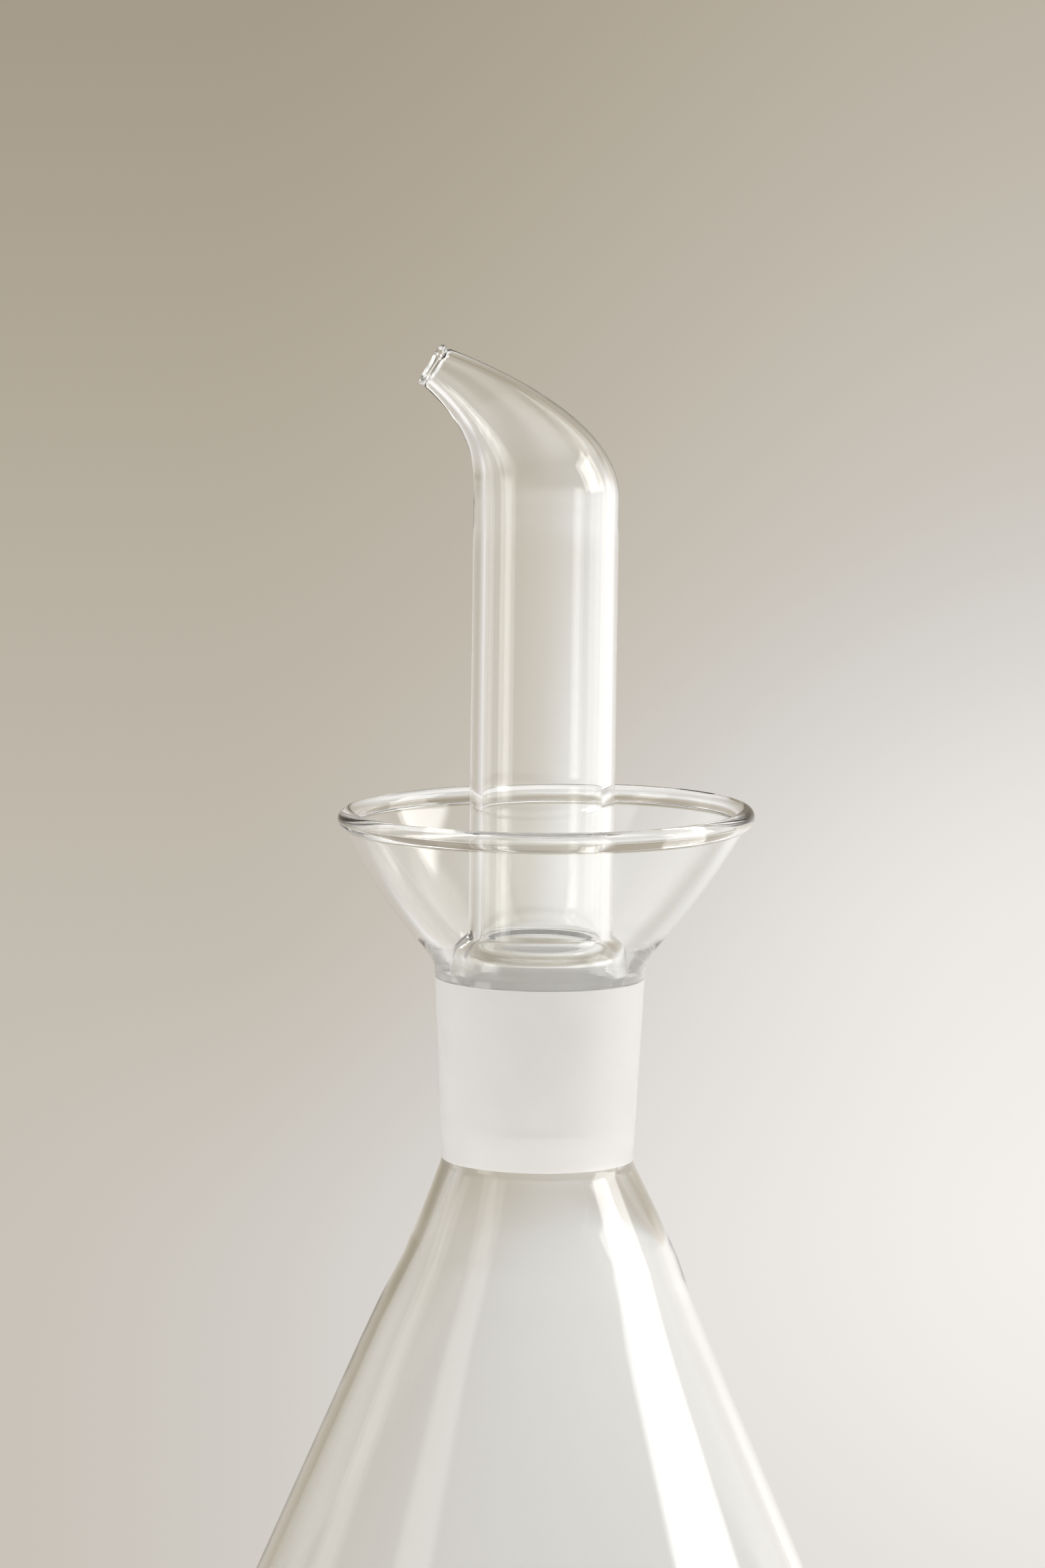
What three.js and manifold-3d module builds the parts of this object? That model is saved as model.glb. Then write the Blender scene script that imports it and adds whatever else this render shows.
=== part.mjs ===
// A cooking-oil cruet in clear borosilicate glass.
// The flask is a cone with a ground tapered socket for a neck and a drip funnel above it.
// The stopper is a hollow ground taper that carries an upright tube, bent over and drawn to a fine mouth.
// Millimetres, +Z up, origin at the centre of the base. The spout points to -X.

import * as THREE from 'three';
import { mergeVertices } from 'three/addons/utils/BufferGeometryUtils.js';
import Module from 'manifold-3d';

const wasm = await Module();
wasm.setup();

// ---- Flask body -----------------------------------------------------------
const BODY_DIAMETER = 113;
const BODY_HEIGHT = 103.8;
const BODY_WALL = 1.8;
const BASE_THICKNESS = 2.4;
const HEEL_RADIUS = 8;
const FOOT_RING_WIDTH = 14;
const PUSH_UP = 0.8;
const NECK_BLEND = 11;

// ---- Ground taper joint ---------------------------------------------------
const TAPER = 0.1; // change of diameter over length
const SOCKET_BORE = 29.2; // at its wide, upper end
const SOCKET_LENGTH = 30.6;
const SOCKET_WALL = 2.8;
const TAPER_CLEARANCE = 0.06;
const SEAL_GAP = 0.02; // between sections of one piece of glass, where they are fused

// ---- Drip funnel ----------------------------------------------------------
const RIM_DIAMETER = 69;
const RIM_BEAD = 3.2;
const FUNNEL_HEIGHT = 26.3; // from the top of the socket to the middle of the rim bead
const FUNNEL_WALL = 1.9;
const FUNNEL_BULGE = 0.7;
const FLARE_HEIGHT = 3.7; // where the wall turns from the neck into the funnel
const FLARE_FILLET = 2.9;
const MOUTH_RELIEF = 0.4; // the funnel is this much wider than the ground bore at its foot

// ---- Pouring stopper ------------------------------------------------------
const STOPPER_LENGTH = 28;
const STOPPER_PROUD = 3; // how far the ground taper stands above the socket
const STOPPER_WALL = 2;
const SHOULDER_HEIGHT = 5;
const SHOULDER_LAND = 0.6; // upright stretch above the ground taper, before the shoulder turns in
const DRAIN_HOLE = 4.4;
const TUBE_DIAMETER = 24;
const TUBE_WALL = 2;
const TUBE_LENGTH = 70.1; // straight part, from the shoulder to the bend

// ---- Bent spout -----------------------------------------------------------
const SPOUT_REACH = 19.2; // from the tube's axis to the middle of the mouth
const SPOUT_RISE = 24; // from the start of the bend to the middle of the mouth
const SPOUT_ELEVATION = 30; // degrees above the horizontal
const BEND_TIGHTNESS = 0.87; // tube radius over spine radius where the bend starts; at 1 the inside folds
const TIP_HANDLE = 7; // how far back from the mouth the spine keeps the mouth's direction
const TIP_DIAMETER = 6.8;
const TIP_WALL = 1.4;

// ---- Fineness -------------------------------------------------------------
const ROUND_SEGMENTS = 48;
const SPOUT_SEGMENTS = 36;
const ARC_STEPS = 6;
const BEAD_STEPS = 9;
const FUNNEL_STEPS = 5;
const SPOUT_STEPS = 14;
const DRILL_SEGMENTS = 20;

// ---- Places worked out from the sizes -------------------------------------
const SOCKET_TOP = BODY_HEIGHT + SOCKET_LENGTH;
const RIM_HEIGHT = SOCKET_TOP + FUNNEL_HEIGHT;
const CONE_TOP = SOCKET_TOP + STOPPER_PROUD;
const CONE_BOTTOM = CONE_TOP - STOPPER_LENGTH;
const TUBE_BOTTOM = CONE_TOP + SHOULDER_HEIGHT;
const BEND_START = TUBE_BOTTOM + TUBE_LENGTH;

/** Radius of the ground bore at a height, carried on along its taper above and below the socket. */
function boreRadius(height) {
	return SOCKET_BORE / 2 + (TAPER / 2) * (height - SOCKET_TOP);
}

/** Outer radius of the stopper's ground taper at a height. */
function coneRadius(height) {
	return boreRadius(height) - TAPER_CLEARANCE;
}

/** A point of a profile: how far from the axis, and how high. */
function at(radius, height) {
	return new THREE.Vector2(radius, height);
}

/** The point at a distance and an angle, in radians, from a centre. */
function around(centre, distance, angle) {
	return at(centre.x + distance * Math.cos(angle), centre.y + distance * Math.sin(angle));
}

/** Points along an arc, its ends included. */
function arc(centre, radius, fromAngle, toAngle, steps) {
	const points = [];
	for (let i = 0; i <= steps; i++) {
		points.push(around(centre, radius, fromAngle + ((toAngle - fromAngle) * i) / steps));
	}
	return points;
}

/** The two faces of a wall that follows a middle line. Each station is {point, thickness}. */
function wallFaces(stations) {
	const outer = [];
	const inner = [];
	for (let i = 0; i < stations.length; i++) {
		const before = stations[Math.max(i - 1, 0)].point;
		const after = stations[Math.min(i + 1, stations.length - 1)].point;
		const along = after.clone().sub(before).normalize();
		const across = at(along.y, -along.x).multiplyScalar(stations[i].thickness / 2);
		outer.push(stations[i].point.clone().add(across));
		inner.push(stations[i].point.clone().sub(across));
	}
	return { outer, inner };
}

/** Closes a wall's two faces into one outline, with a round bead centred on the last station. */
function beadedOutline(stations, beadDiameter) {
	const end = stations[stations.length - 1];
	const back = stations[stations.length - 2].point.clone().sub(end.point).angle();
	const radius = beadDiameter / 2;
	const half = Math.asin(Math.min(end.thickness / beadDiameter, 1));
	const bead = arc(end.point, radius, back + half, back + 2 * Math.PI - half, BEAD_STEPS);
	const faceEnd = { point: around(end.point, radius * Math.cos(half), back), thickness: end.thickness };
	const { outer, inner } = wallFaces([...stations.slice(0, -1), faceEnd]);
	const outline = [...outer, ...bead.slice(1, -1), ...inner.reverse()];
	return [...outline, outline[0]];
}

/** A solid of revolution about Z from an outline that ends on the axis or closes on itself. */
function turned(outline, segments) {
	const geometry = new THREE.LatheGeometry(outline, segments);
	geometry.rotateX(Math.PI / 2);
	return welded(geometry);
}

/** The same shape with its shared vertices joined and only their positions kept. */
function welded(geometry) {
	geometry.deleteAttribute('normal');
	geometry.deleteAttribute('uv');
	return mergeVertices(geometry, 1e-4);
}

/** Turns a welded shape into a solid that can be cut. */
function toSolid(geometry) {
	const mesh = new wasm.Mesh({
		numProp: 3,
		vertProperties: new Float32Array(geometry.attributes.position.array),
		triVerts: new Uint32Array(geometry.index.array),
	});
	mesh.merge();
	return new wasm.Manifold(mesh);
}

/** Turns a solid back into a geometry. */
function toGeometry(solid) {
	const mesh = solid.getMesh();
	const geometry = new THREE.BufferGeometry();
	geometry.setAttribute('position', new THREE.BufferAttribute(mesh.vertProperties, mesh.numProp));
	geometry.setIndex(new THREE.BufferAttribute(mesh.triVerts, 1));
	return geometry;
}

/** The conical body: flat foot ring, shallow push-up, round heel, straight side and open neck. */
function flaskBodyGeometry() {
	const heel = at(BODY_DIAMETER / 2 - HEEL_RADIUS, HEEL_RADIUS);
	const neck = at(boreRadius(BODY_HEIGHT) + SOCKET_WALL, BODY_HEIGHT);
	const toNeck = neck.clone().sub(heel);
	// The side leans so that it is tangent to the heel and ends at the neck.
	const lean = toNeck.angle() - Math.acos(HEEL_RADIUS / toNeck.length());
	const innerHeelRadius = HEEL_RADIUS - BODY_WALL;
	const floorLift = BASE_THICKNESS - BODY_WALL;
	const innerHeel = at(heel.x - floorLift * Math.tan(lean), heel.y + floorLift);
	const innerSideTop = at(
		neck.x - BODY_WALL / Math.cos(lean) + NECK_BLEND * Math.tan(lean),
		BODY_HEIGHT - NECK_BLEND,
	);
	const footInner = heel.x - FOOT_RING_WIDTH;
	const halfWay = footInner / 2;
	const pushUpHalfWay = PUSH_UP * (1 - (halfWay / footInner) ** 2);
	const outline = [
		at(0, PUSH_UP),
		at(halfWay, pushUpHalfWay),
		at(footInner, 0),
		...arc(heel, HEEL_RADIUS, -Math.PI / 2, lean, ARC_STEPS),
		neck,
		at(boreRadius(BODY_HEIGHT), BODY_HEIGHT),
		innerSideTop,
		...arc(innerHeel, innerHeelRadius, lean, -Math.PI / 2, ARC_STEPS),
		at(footInner, BASE_THICKNESS),
		at(halfWay, BASE_THICKNESS + pushUpHalfWay),
		at(0, BASE_THICKNESS + PUSH_UP),
	];
	return turned(outline, ROUND_SEGMENTS);
}

/** The neck: a heavy wall of even thickness that follows the ground taper. */
function groundSocketGeometry() {
	const bottom = BODY_HEIGHT + SEAL_GAP;
	const outline = [
		at(boreRadius(bottom), bottom),
		at(boreRadius(bottom) + SOCKET_WALL, bottom),
		at(boreRadius(SOCKET_TOP) + SOCKET_WALL, SOCKET_TOP),
		at(boreRadius(SOCKET_TOP), SOCKET_TOP),
		at(boreRadius(bottom), bottom),
	];
	return turned(outline, ROUND_SEGMENTS);
}

/** The funnel: an upright foot, a fillet, a slightly bulging wall and a round bead at the rim. */
function dripFunnelGeometry() {
	const footWall = SOCKET_WALL - MOUTH_RELIEF;
	const footRadius = SOCKET_BORE / 2 + SOCKET_WALL - footWall / 2;
	const foot = at(footRadius, SOCKET_TOP + SEAL_GAP);
	const corner = at(footRadius, SOCKET_TOP + FLARE_HEIGHT);
	const rim = at(RIM_DIAMETER / 2 - RIM_BEAD / 2, RIM_HEIGHT);
	const chord = rim.clone().sub(corner);
	const outward = at(chord.y, -chord.x).normalize();
	const bulge = corner.clone().add(rim).multiplyScalar(0.5).addScaledVector(outward, 2 * FUNNEL_BULGE);
	const side = new THREE.QuadraticBezierCurve(corner, bulge, rim);
	const filletShare = FLARE_FILLET / side.getLength();
	const filletEnd = side.getPointAt(filletShare);
	const filletStart = at(footRadius, corner.y - FLARE_FILLET);
	const fillet = new THREE.QuadraticBezierCurve(filletStart, corner, filletEnd);
	const stations = [{ point: foot, thickness: footWall }];
	for (let i = 0; i <= FUNNEL_STEPS; i++) {
		const share = i / FUNNEL_STEPS;
		const thickness = THREE.MathUtils.lerp(footWall, FUNNEL_WALL, share);
		stations.push({ point: fillet.getPoint(share), thickness });
	}
	for (let i = 1; i <= FUNNEL_STEPS; i++) {
		const share = THREE.MathUtils.lerp(filletShare, 1, i / FUNNEL_STEPS);
		stations.push({ point: side.getPointAt(share), thickness: FUNNEL_WALL });
	}
	return turned(beadedOutline(stations, RIM_BEAD), ROUND_SEGMENTS);
}

/** The ground part of the stopper: a hollow taper with a rounded lower edge. */
function stopperConeGeometry() {
	const edge = STOPPER_WALL / 2;
	const edgeCentre = at(coneRadius(CONE_BOTTOM) - edge, CONE_BOTTOM + edge);
	const outline = [
		...arc(edgeCentre, edge, -Math.PI, 0, ARC_STEPS),
		at(coneRadius(CONE_TOP), CONE_TOP),
		at(coneRadius(CONE_TOP) - STOPPER_WALL, CONE_TOP),
	];
	return turned([...outline, outline[0]], ROUND_SEGMENTS);
}

/** The line through the middle of the bent spout, in the XZ plane, from the end of the straight tube. */
function spoutSpine() {
	const elevation = THREE.MathUtils.degToRad(SPOUT_ELEVATION);
	const start = new THREE.Vector3(0, 0, BEND_START);
	const mouth = new THREE.Vector3(-SPOUT_REACH, 0, BEND_START + SPOUT_RISE);
	const outward = new THREE.Vector3(-Math.cos(elevation), 0, Math.sin(elevation));
	const beforeMouth = mouth.clone().addScaledVector(outward, -TIP_HANDLE);
	// A cubic curve that leaves along Z starts with the curvature 2/3 * sideways reach / handle^2.
	const startCurvature = BEND_TIGHTNESS / (TUBE_DIAMETER / 2);
	const handle = Math.sqrt(((2 / 3) * Math.abs(beforeMouth.x)) / startCurvature);
	const afterStart = start.clone().add(new THREE.Vector3(0, 0, handle));
	return new THREE.CubicBezierCurve3(start, afterStart, beforeMouth, mouth);
}

/** How much of the draw from tube to mouth is done at a share of the spout's length. */
function drawn(share) {
	return (1 - Math.cos(Math.PI * share)) / 2;
}

/** Carries the part of a straight tube that lies above the bend's start onto the spine. */
function bendOver(geometry, spine, spineLength) {
	const points = geometry.attributes.position;
	for (let i = 0; i < points.count; i++) {
		const past = points.getZ(i) - BEND_START;
		if (past <= 0) continue;
		const share = Math.min(past / spineLength, 1);
		const centre = spine.getPointAt(share);
		const along = spine.getTangentAt(share);
		const overrun = past - share * spineLength;
		// The section turns with the spine, so +X leans towards +Z as the tube leans towards -X.
		const sideways = points.getX(i);
		points.setX(i, centre.x + along.z * sideways + along.x * overrun);
		points.setZ(i, centre.z - along.x * sideways + along.z * overrun);
	}
}

/** The upper part of the stopper: shoulder with its drain hole, upright tube and drawn, bent mouth. */
function pouringSpoutGeometry() {
	const foot = at(coneRadius(CONE_TOP) - STOPPER_WALL / 2, CONE_TOP + SEAL_GAP);
	const tubeFoot = at((TUBE_DIAMETER - TUBE_WALL) / 2, TUBE_BOTTOM);
	const turnIn = at(foot.x, CONE_TOP + SHOULDER_LAND);
	const middleHeight = (turnIn.y + tubeFoot.y) / 2;
	const shoulder = new THREE.CubicBezierCurve(
		turnIn,
		at(turnIn.x, middleHeight),
		at(tubeFoot.x, middleHeight),
		tubeFoot,
	);
	const stations = [{ point: foot, thickness: STOPPER_WALL }];
	for (let i = 0; i <= ARC_STEPS; i++) {
		const share = i / ARC_STEPS;
		const thickness = THREE.MathUtils.lerp(STOPPER_WALL, TUBE_WALL, share);
		stations.push({ point: shoulder.getPoint(share), thickness });
	}
	const spine = spoutSpine();
	const spineLength = spine.getLength();
	for (let i = 0; i <= SPOUT_STEPS; i++) {
		const share = i / SPOUT_STEPS;
		const thickness = THREE.MathUtils.lerp(TUBE_WALL, TIP_WALL, share);
		const middle = THREE.MathUtils.lerp(TUBE_DIAMETER - TUBE_WALL, TIP_DIAMETER - TIP_WALL, drawn(share));
		stations.push({ point: at(middle / 2, BEND_START + share * spineLength), thickness });
	}
	const geometry = turned(beadedOutline(stations, TIP_WALL), SPOUT_SEGMENTS);
	bendOver(geometry, spine, spineLength);
	return toGeometry(toSolid(geometry).subtract(drainHole(turnIn, tubeFoot)));
}

/** The drill for the drain hole: square to the shoulder's slope, half way down it, on the spout's side. */
function drainHole(turnIn, tubeFoot) {
	const middle = turnIn.clone().add(tubeFoot).multiplyScalar(0.5);
	const slope = Math.atan2(turnIn.x - tubeFoot.x, tubeFoot.y - turnIn.y);
	const reach = 2 * STOPPER_WALL; // far enough to each side to pass right through the wall
	const geometry = new THREE.CylinderGeometry(DRAIN_HOLE / 2, DRAIN_HOLE / 2, 2 * reach, DRILL_SEGMENTS);
	geometry.rotateZ(Math.PI / 2);
	geometry.rotateY(slope);
	geometry.translate(-middle.x, 0, middle.y);
	return toSolid(welded(geometry));
}

const clearGlass = new THREE.MeshStandardMaterial({ color: 0xe9ece9, roughness: 0.02, metalness: 0 });
clearGlass.transparent = true;
clearGlass.opacity = 0.35;
const frostedGlass = new THREE.MeshStandardMaterial({ color: 0xe4e6e8, roughness: 0.6, metalness: 0 });

/** A named piece of the model. */
function piece(name, geometry, material) {
	const mesh = new THREE.Mesh(geometry, material);
	mesh.name = name;
	return mesh;
}

const flask = new THREE.Group();
flask.add(piece('flask_body', flaskBodyGeometry(), clearGlass));
flask.add(piece('ground_socket', groundSocketGeometry(), frostedGlass));
flask.add(piece('drip_funnel', dripFunnelGeometry(), clearGlass));

const stopper = new THREE.Group();
stopper.add(piece('stopper_cone', stopperConeGeometry(), frostedGlass));
stopper.add(piece('pouring_spout', pouringSpoutGeometry(), clearGlass));

const cruet = new THREE.Group();
cruet.add(flask, stopper);

export default cruet;
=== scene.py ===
"""Looks for a cooking-oil cruet in clear borosilicate glass.

The flask is blown in one with its ground socket and its drip funnel. The stopper is blown in one with its
hollow ground taper, its upright tube and its bent mouth. Sizes are in millimetres until a mesh is finished,
and in metres after that. The spout points to -X, and the camera looks along +Y.
"""

import logging
import math
from collections.abc import Sequence
from dataclasses import dataclass, field
from enum import Enum
from typing import Any

import bmesh
import bpy
from mathutils import Matrix, Vector

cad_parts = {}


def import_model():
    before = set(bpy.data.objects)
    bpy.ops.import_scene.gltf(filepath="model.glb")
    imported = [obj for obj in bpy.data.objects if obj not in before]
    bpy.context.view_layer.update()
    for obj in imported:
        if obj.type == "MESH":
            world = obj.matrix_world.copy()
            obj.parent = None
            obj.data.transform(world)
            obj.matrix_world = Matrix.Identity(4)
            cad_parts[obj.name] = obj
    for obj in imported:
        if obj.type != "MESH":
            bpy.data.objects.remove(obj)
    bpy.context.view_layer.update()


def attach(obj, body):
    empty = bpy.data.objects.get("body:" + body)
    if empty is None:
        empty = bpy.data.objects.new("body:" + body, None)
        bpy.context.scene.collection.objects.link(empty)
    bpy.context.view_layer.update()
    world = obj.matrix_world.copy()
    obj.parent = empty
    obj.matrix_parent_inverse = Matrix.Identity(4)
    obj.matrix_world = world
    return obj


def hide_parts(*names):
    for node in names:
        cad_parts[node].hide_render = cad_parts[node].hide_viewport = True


LOG = logging.getLogger("cruet")
MM = 0.001
DEGREES = 180 / math.pi

# Rows and steps of the meshes, each named for the stretch of glass that it divides.
BASE_ROWS = 8
HEEL_STEPS = 14
SIDE_STEPS = 12
TURN_STEPS = 8
SOCKET_STEPS = 6
BORE_STEPS = 8
NECK_STEPS = 4
FLARE_STEPS = 10
FUNNEL_STEPS = 14
RIM_STEPS = 22
EDGE_STEPS = 12
LIP_STEPS = 14
CONE_ROWS = 8
SHOULDER_ROWS = 14
TUBE_ROWS = 20
SPOUT_ROWS = 64

# Distances in millimetres that tell what lies on what.
WELD = 1e-4
ON_LINE = 1e-3
NEAR = 0.1


# ---- Lines in the plane of the axis ---------------------------------------


def bezier(controls: Sequence[Vector], share: float) -> Vector:
    """Finds a point of a Bezier curve.

    Args:
        controls: The curve's control points, its ends included.
        share: How far along the curve, from 0 to 1.

    Returns:
        The point.
    """
    points = list(controls)
    while len(points) > 1:
        points = [a.lerp(b, share) for a, b in zip(points, points[1:])]
    return points[0]


def around(centre: Vector, distance: float, angle: float) -> Vector:
    """Finds a point by its distance and its angle from a centre.

    Args:
        centre: The centre, as radius and height.
        distance: How far from the centre.
        angle: The direction in radians, 0 away from the axis.

    Returns:
        The point.
    """
    return centre + distance * Vector((math.cos(angle), math.sin(angle)))


def arc(centre: Vector, radius: float, start: float, end: float, steps: int) -> list[Vector]:
    """Lays points along an arc, its ends included.

    Args:
        centre: The arc's centre.
        radius: The arc's radius.
        start: The first point's angle in radians.
        end: The last point's angle in radians.
        steps: The number of steps.

    Returns:
        The points.
    """
    return [around(centre, radius, start + (end - start) * i / steps) for i in range(steps + 1)]


def eased_corner(before: Vector, corner: Vector, after: Vector, reach: float, steps: int) -> list[Vector]:
    """Rounds a corner of a line.

    Args:
        before: A point on the line before the corner.
        corner: The corner.
        after: A point on the line after the corner.
        reach: How far from the corner the rounding starts and ends.
        steps: The number of steps.

    Returns:
        The points that take the corner's place.
    """
    start = corner + reach * (before - corner).normalized()
    end = corner + reach * (after - corner).normalized()
    return [bezier([start, corner, end], i / steps) for i in range(steps + 1)]


def straight(start: Vector, end: Vector, steps: int) -> list[Vector]:
    """Lays points between two others, which are left out.

    Args:
        start: The point before the first.
        end: The point after the last.
        steps: The number of steps from start to end.

    Returns:
        The points between.
    """
    return [start.lerp(end, i / steps) for i in range(1, steps)]


class Path:
    """A smooth curve that is read by length."""

    SAMPLES = 600

    def __init__(self, controls: Sequence[Vector]) -> None:
        """Samples the curve.

        Args:
            controls: Its Bezier control points.
        """
        self._take([bezier(controls, i / self.SAMPLES) for i in range(self.SAMPLES + 1)])

    def _take(self, points: list[Vector]) -> None:
        """Takes points over as the curve, and measures it."""
        self.points = points
        self.lengths = [0.0]
        for a, b in zip(self.points, self.points[1:]):
            self.lengths.append(self.lengths[-1] + (b - a).length)

    @classmethod
    def through(cls, points: list[Vector]) -> "Path":
        """A path straight from point to point."""
        made = cls.__new__(cls)
        made._take(points)
        return made

    @property
    def length(self) -> float:
        """The whole length."""
        return self.lengths[-1]

    def _place(self, share: float) -> tuple[int, float]:
        """Finds the sample before a share of the length, and how far past it that is.

        Args:
            share: How far along, from 0 to 1.

        Returns:
            The sample's number and a share of the step after it.
        """
        wanted = min(max(share, 0.0), 1.0) * self.length
        low, high = 0, len(self.points) - 1
        while high - low > 1:
            middle = (low + high) // 2
            if self.lengths[middle] <= wanted:
                low = middle
            else:
                high = middle
        return low, (wanted - self.lengths[low]) / (self.lengths[high] - self.lengths[low])

    def at(self, share: float) -> Vector:
        """The point at a share of the length."""
        low, part = self._place(share)
        return self.points[low].lerp(self.points[low + 1], part)


@dataclass
class Wall:
    """A glass wall that follows a middle line, station by station."""

    points: list[Vector] = field(default_factory=list)
    thicknesses: list[float] = field(default_factory=list)

    def add(self, point: Vector, thickness: float) -> None:
        """Adds a station with its wall thickness."""
        self.points.append(point)
        self.thicknesses.append(thickness)

    def faces(self) -> tuple[list[Vector], list[Vector]]:
        """Works out the wall's two faces.

        Returns:
            The outer face and the inner face, both in the order of the stations.
        """
        outer, inner = [], []
        last = len(self.points) - 1
        for i, (point, thickness) in enumerate(zip(self.points, self.thicknesses)):
            along = (self.points[min(i + 1, last)] - self.points[max(i - 1, 0)]).normalized()
            across = Vector((along.y, -along.x)) * thickness / 2
            outer.append(point + across)
            inner.append(point - across)
        return outer, inner

    def beaded(self, diameter: float, steps: int) -> list[Vector]:
        """Closes the wall's two faces over a round bead at its last station.

        Args:
            diameter: The bead's diameter.
            steps: The number of steps round the bead.

        Returns:
            The outer face, the bead, and the inner face back to the first station.
        """
        end, thickness = self.points[-1], self.thicknesses[-1]
        toward = self.points[-2] - end
        back = math.atan2(toward.y, toward.x)
        half = math.asin(min(thickness / diameter, 1.0))
        bead = arc(end, diameter / 2, back + half, back + 2 * math.pi - half, steps)
        trimmed = Wall(self.points[:-1], self.thicknesses[:-1])
        trimmed.add(around(end, diameter / 2 * math.cos(half), back), thickness)
        outer, inner = trimmed.faces()
        return outer + bead[1:-1] + inner[::-1]


def turned(outline: Sequence[Vector], steps: int, closed: bool) -> bmesh.types.BMesh:
    """Spins an outline round the axis.

    Args:
        outline: The outline's points, as radius and height.
        steps: The number of steps round the axis.
        closed: True if the outline's last point joins its first, False if both lie on the axis.

    Returns:
        A closed mesh in millimetres whose faces point out of the glass.
    """
    made = bmesh.new()
    verts = [made.verts.new((p.x, 0.0, p.y)) for p in outline]
    pairs = list(zip(verts, verts[1:]))
    if closed:
        pairs.append((verts[-1], verts[0]))
    edges = [made.edges.new(pair) for pair in pairs]
    bmesh.ops.spin(
        made,
        geom=verts + edges,
        cent=(0, 0, 0),
        axis=(0, 0, 1),
        angle=2 * math.pi,
        steps=steps,
        use_merge=True,
    )
    bmesh.ops.remove_doubles(made, verts=made.verts, dist=WELD)
    bmesh.ops.recalc_face_normals(made, faces=made.faces)
    return made


# ---- Materials and light, in expressions ----------------------------------


class Value:
    """A number socket that adds Math nodes as it is reckoned with."""

    def __init__(self, tree: "Tree", socket: bpy.types.NodeSocket) -> None:
        """Wraps a socket of a tree."""
        self.tree = tree
        self.socket = socket

    def _with(self, operation: str, *terms: Any) -> "Value":
        """Adds one Math node.

        Args:
            operation: What it does.
            terms: Its inputs, numbers or values.

        Returns:
            Its output.
        """
        node = self.tree.node("ShaderNodeMath", {"operation": operation}, dict(enumerate(terms)))
        return Value(self.tree, node.outputs[0])

    def __add__(self, other: Any) -> "Value":
        """self + other."""
        return self._with("ADD", self, other)

    def __radd__(self, other: Any) -> "Value":
        """other + self."""
        return self._with("ADD", other, self)

    def __sub__(self, other: Any) -> "Value":
        """self - other."""
        return self._with("SUBTRACT", self, other)

    def __rsub__(self, other: Any) -> "Value":
        """other - self."""
        return self._with("SUBTRACT", other, self)

    def __mul__(self, other: Any) -> "Value":
        """self * other."""
        return self._with("MULTIPLY", self, other)

    def __rmul__(self, other: Any) -> "Value":
        """other * self."""
        return self._with("MULTIPLY", other, self)

    def __truediv__(self, other: Any) -> "Value":
        """self / other."""
        return self._with("DIVIDE", self, other)

    def __pow__(self, other: Any) -> "Value":
        """self ** other."""
        return self._with("POWER", self, other)

    def __abs__(self) -> "Value":
        """abs(self)."""
        return self._with("ABSOLUTE", self)

    def most(self, other: Any) -> "Value":
        """The larger of the two."""
        return self._with("MAXIMUM", self, other)

    def ramp(self, low: float, high: float) -> "Value":
        """Eases from 0 at low to 1 at high, either way round.

        Args:
            low: Where the ramp is 0.
            high: Where the ramp is 1.

        Returns:
            The eased value.
        """
        node = self.tree.node(
            "ShaderNodeMapRange",
            {"interpolation_type": "SMOOTHSTEP"},
            {"Value": self, "From Min": low, "From Max": high},
        )
        return Value(self.tree, node.outputs["Result"])


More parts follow.
